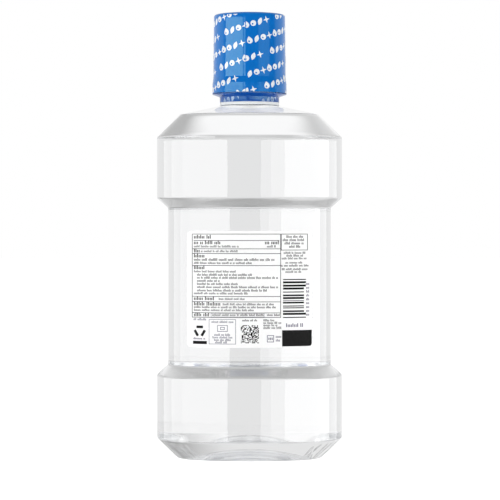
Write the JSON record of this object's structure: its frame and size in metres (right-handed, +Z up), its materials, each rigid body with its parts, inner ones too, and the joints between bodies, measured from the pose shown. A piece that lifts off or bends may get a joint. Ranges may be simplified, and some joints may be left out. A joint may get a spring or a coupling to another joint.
{
  "type": "mouthwash bottle",
  "caption": "Free-standing clear bottle with a narrow waist, full of mouthwash, closed by a screw cap that is also the dosing cup, under a shrink film.",
  "frame": {"origin": "middle of the foot on which the bottle stands", "axes": "+Z up along the neck and cap, +X to the right as the back label is read, the back label on the -Y side"},
  "size_m": [0.103, 0.076, 0.246],
  "materials": {
    "clear_pet": "clear, gloss",
    "clear_liquid": "clear liquid",
    "white_label_film": "satin",
    "blue_shrink_film": "printed film, gloss",
    "foam_liner": "foam, dull",
    "natural_polypropylene": "uncoloured, satin",
    "blue_polypropylene": "satin"
  },
  "bodies": {
    "bottle": {"bottle_shell": "clear_pet", "mouthwash": "clear_liquid", "back_label": "white_label_film", "neck_band": "blue_shrink_film"},
    "liner": {"cap_liner": "foam_liner"},
    "cap": {"dosing_cup": "natural_polypropylene", "cap_shell": "blue_polypropylene", "cap_band": "blue_shrink_film"}
  },
  "joints": [
    {"name": "cap_lift", "type": "slide", "parent": "bottle", "child": "liner", "axis": [0, 0, 1], "range_m": [0, 0.0064]},
    {"name": "cap_turn", "type": "hinge", "parent": "liner", "child": "cap", "pos_m": [0, 0, 0.2183], "axis": [0, 0, 1], "range_deg": [0, 540]}
  ],
  "couplings": [
    {"joint": "cap_lift", "follows": "cap_turn", "m_per_rad": 0.00066845}
  ]
}
